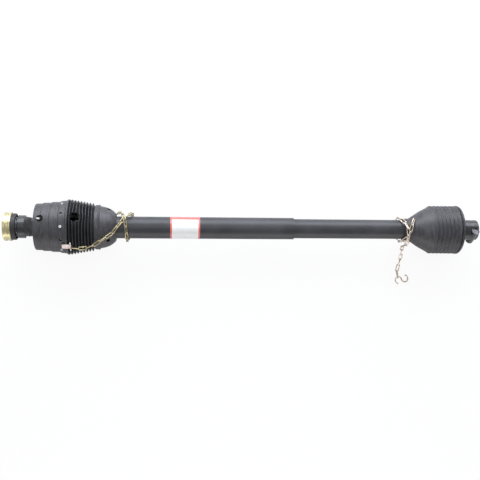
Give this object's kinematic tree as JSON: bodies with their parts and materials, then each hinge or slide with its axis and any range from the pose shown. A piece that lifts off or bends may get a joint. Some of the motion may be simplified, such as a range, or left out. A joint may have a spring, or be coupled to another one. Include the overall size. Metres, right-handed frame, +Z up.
{
  "type": "pto drive shaft",
  "caption": "Guarded telescopic drive shaft with a wide-angle joint and ball collar at one end and a single cross joint at the other.",
  "frame": {"origin": "centre of the splined bore at the tractor hub's front face", "axes": "+X along the shaft towards the implement end, +Z up from the floor that it lies on"},
  "size_m": [1.32, 0.2352, 0.15],
  "materials": {
    "cast_black": "satin",
    "guard_plastic": "satin",
    "bellows_rubber": "matte",
    "gold_zinc": "satin",
    "chain_brass": "satin",
    "bright_steel": "satin",
    "dark_steel": "satin",
    "brass": "satin",
    "nylon": "matte",
    "collar_plastic": "satin",
    "tag": "satin"
  },
  "bodies": {
    "guard_outer": {"bellows": "bellows_rubber", "guard_cone_rear": "guard_plastic", "guard_bearing_outer": "nylon", "outer_guard_tube": "guard_plastic", "safety_chain_outer": "chain_brass"},
    "drive_outer": {"inner_yoke": "cast_black", "inner_yoke_caps": "bright_steel", "inner_yoke_clips": "dark_steel", "outer_drive_tube": "dark_steel", "inner_yoke_pin": "dark_steel"},
    "cross_rear": {"cross_rear": "bright_steel", "cross_rear_nipple": "brass"},
    "cv_body": {"cv_housing": "cast_black", "centring_disc": "dark_steel", "cv_front_caps": "bright_steel", "cv_front_clips": "dark_steel", "cv_rear_caps": "bright_steel", "cv_rear_clips": "dark_steel"},
    "guard_shell": {"guard_shell": "guard_plastic", "shell_bearing": "nylon", "shell_screws": "bright_steel", "chain_tag": "tag"},
    "cross_front": {"cross_front": "bright_steel", "cross_front_nipple": "brass"},
    "tractor_yoke": {"tractor_yoke": "cast_black", "tractor_yoke_caps": "bright_steel", "tractor_yoke_clips": "dark_steel", "collar_spring": "dark_steel", "collar_snap_ring": "dark_steel"},
    "lock_collar": {"lock_collar": "gold_zinc", "collar_ring": "collar_plastic"},
    "lock_ball_1": {"lock_ball_1": "bright_steel"},
    "lock_ball_2": {"lock_ball_2": "bright_steel"},
    "lock_ball_3": {"lock_ball_3": "bright_steel"},
    "drive_inner": {"inner_drive_tube": "dark_steel", "tube_yoke": "cast_black", "tube_yoke_pin": "dark_steel", "tube_yoke_caps": "bright_steel", "tube_yoke_clips": "dark_steel"},
    "guard_inner": {"inner_guard_tube": "guard_plastic", "guard_cone_implement": "guard_plastic", "guard_bearing_inner": "nylon", "safety_chain_inner": "chain_brass", "chain_hook": "chain_brass"},
    "cross_implement": {"cross_implement": "bright_steel", "cross_implement_nipple": "brass"},
    "implement_yoke": {"implement_yoke": "cast_black", "implement_yoke_caps": "bright_steel", "implement_yoke_clips": "dark_steel", "push_pin_spring": "dark_steel"},
    "push_pin": {"push_pin": "bright_steel"}
  },
  "joints": [
    {"name": "drive_spin", "type": "hinge", "parent": "guard_outer", "child": "drive_outer", "pos_m": [0.3, 0, 0], "axis": [1, 0, 0], "continuous": true},
    {"name": "wide_bend_z_rear", "type": "hinge", "parent": "drive_outer", "child": "cross_rear", "pos_m": [0.199, 0, 0], "axis": [0, 0, 1], "range_deg": [-32, 32], "deforming": ["bellows", "safety_chain_outer"]},
    {"name": "wide_bend_y_rear", "type": "hinge", "parent": "cross_rear", "child": "cv_body", "pos_m": [0.199, 0, 0], "axis": [0, 1, 0], "range_deg": [-32, 32]},
    {"name": "shell_spin", "type": "hinge", "parent": "cv_body", "child": "guard_shell", "pos_m": [0.15, 0, 0], "axis": [1, 0, 0], "continuous": true},
    {"name": "wide_bend_y_front", "type": "hinge", "parent": "cv_body", "child": "cross_front", "pos_m": [0.101, 0, 0], "axis": [0, 1, 0], "range_deg": [-32, 32]},
    {"name": "wide_bend_z_front", "type": "hinge", "parent": "cross_front", "child": "tractor_yoke", "pos_m": [0.101, 0, 0], "axis": [0, 0, 1], "range_deg": [-32, 32]},
    {"name": "collar_slide", "type": "slide", "parent": "tractor_yoke", "child": "lock_collar", "axis": [1, 0, 0], "range_m": [0, 0.012], "stiffness_N_per_m": 600, "springref_m": -0.02, "deforming": ["collar_spring"]},
    {"name": "ball_1_slide", "type": "slide", "parent": "tractor_yoke", "child": "lock_ball_1", "axis": [0, 0, 1], "range_m": [0, 0.003]},
    {"name": "ball_2_slide", "type": "slide", "parent": "tractor_yoke", "child": "lock_ball_2", "axis": [0, -0.866, -0.5], "range_m": [0, 0.003]},
    {"name": "ball_3_slide", "type": "slide", "parent": "tractor_yoke", "child": "lock_ball_3", "axis": [0, 0.866, -0.5], "range_m": [0, 0.003]},
    {"name": "telescope", "type": "slide", "parent": "drive_outer", "child": "drive_inner", "axis": [1, 0, 0], "range_m": [-0.27, 0.1]},
    {"name": "implement_guard_spin", "type": "hinge", "parent": "drive_inner", "child": "guard_inner", "pos_m": [1.15, 0, 0], "axis": [1, 0, 0], "continuous": true},
    {"name": "implement_bend_z", "type": "hinge", "parent": "drive_inner", "child": "cross_implement", "pos_m": [1.231, 0, 0], "axis": [0, 0, 1], "range_deg": [-28, 28]},
    {"name": "implement_bend_y", "type": "hinge", "parent": "cross_implement", "child": "implement_yoke", "pos_m": [1.231, 0, 0], "axis": [0, 1, 0], "range_deg": [-28, 28]},
    {"name": "push_pin_slide", "type": "slide", "parent": "implement_yoke", "child": "push_pin", "axis": [0, -0.5, -0.866], "range_m": [0, 0.006], "stiffness_N_per_m": 900, "springref_m": -0.008, "deforming": ["push_pin_spring"]}
  ],
  "couplings": [
    {"joint": "shell_spin", "follows": "drive_spin", "ratio": -1},
    {"joint": "wide_bend_z_front", "follows": "wide_bend_z_rear", "ratio": 1},
    {"joint": "wide_bend_y_front", "follows": "wide_bend_y_rear", "ratio": 1},
    {"joint": "ball_1_slide", "follows": "collar_slide", "ratio": 0.25},
    {"joint": "ball_2_slide", "follows": "collar_slide", "ratio": 0.25},
    {"joint": "ball_3_slide", "follows": "collar_slide", "ratio": 0.25}
  ]
}
